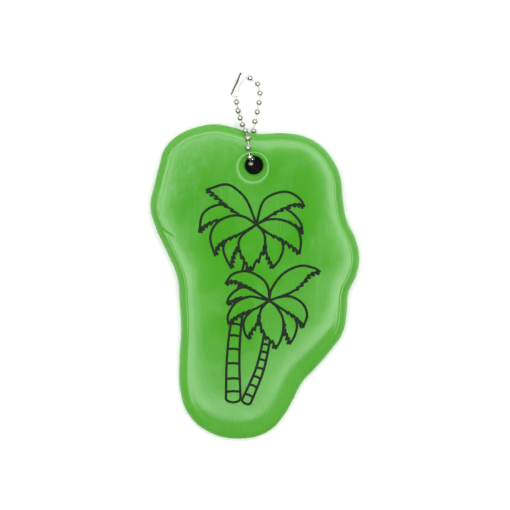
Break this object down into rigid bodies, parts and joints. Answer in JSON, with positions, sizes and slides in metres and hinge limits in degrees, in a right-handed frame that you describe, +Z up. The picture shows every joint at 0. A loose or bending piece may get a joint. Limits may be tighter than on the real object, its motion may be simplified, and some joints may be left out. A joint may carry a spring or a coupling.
{
  "type": "palm tree keychain",
  "caption": "Floating foam key fob with a printed palm tree face, on a loop of ball chain with a clasp that passes through its hole.",
  "frame": {"origin": "middle of the footprint, on the surface that the keychain lies on", "axes": "+X to the right across the float, +Y along the float towards its hole and the chain loop, +Z up, out of the printed face"},
  "size_m": [0.0878, 0.1536, 0.0147],
  "materials": {
    "vinyl": "glossy dipped vinyl, leaf green",
    "ink": "dark screen-printed ink",
    "nickel": "bright nickel plate"
  },
  "bodies": {
    "float": {"foam_float": "vinyl", "palm_print": "ink", "bead_04": "nickel", "bead_05": "nickel", "bead_06": "nickel", "bead_07": "nickel", "bead_08": "nickel", "bead_09": "nickel", "bead_10": "nickel", "bead_11": "nickel", "bead_12": "nickel", "bead_13": "nickel", "bead_14": "nickel", "bead_15": "nickel", "bead_16": "nickel", "link_03": "nickel", "link_04": "nickel", "link_05": "nickel", "link_06": "nickel", "link_07": "nickel", "link_08": "nickel", "link_09": "nickel", "link_10": "nickel", "link_11": "nickel", "link_12": "nickel", "link_13": "nickel", "link_14": "nickel", "link_15": "nickel", "link_16": "nickel"},
    "first_bead_pair": {"bead_03": "nickel", "bead_17": "nickel"},
    "link_pair": {"link_02": "nickel", "link_17": "nickel"},
    "second_bead_pair": {"bead_02": "nickel", "bead_18": "nickel"},
    "key_loop": {"clasp": "nickel", "bead_01": "nickel", "link_01": "nickel", "link_18": "nickel", "bead_19": "nickel", "link_19": "nickel", "bead_20": "nickel", "link_20": "nickel", "bead_21": "nickel", "link_21": "nickel", "bead_22": "nickel"}
  },
  "joints": [
    {"name": "first_pair_bend", "type": "hinge", "parent": "float", "child": "first_bead_pair", "pos_m": [-0.00301, 0.06014, 0.00229], "axis": [0.9616, -0.0748, -0.2639], "range_deg": [0, 12]},
    {"name": "link_pair_bend", "type": "hinge", "parent": "first_bead_pair", "child": "link_pair", "pos_m": [-0.003, 0.06085, 0.00206], "axis": [0.9778, -0.0553, -0.202], "range_deg": [0, 12]},
    {"name": "second_pair_bend", "type": "hinge", "parent": "link_pair", "child": "second_bead_pair", "pos_m": [-0.00296, 0.06391, 0.00143], "axis": [0.9986, -0.0242, -0.048], "range_deg": [0, 12]},
    {"name": "loop_lift", "type": "hinge", "parent": "second_bead_pair", "child": "key_loop", "pos_m": [-0.00295, 0.0647, 0.0014], "axis": [0.9989, -0.0236, -0.0394], "range_deg": [0, 12]}
  ]
}
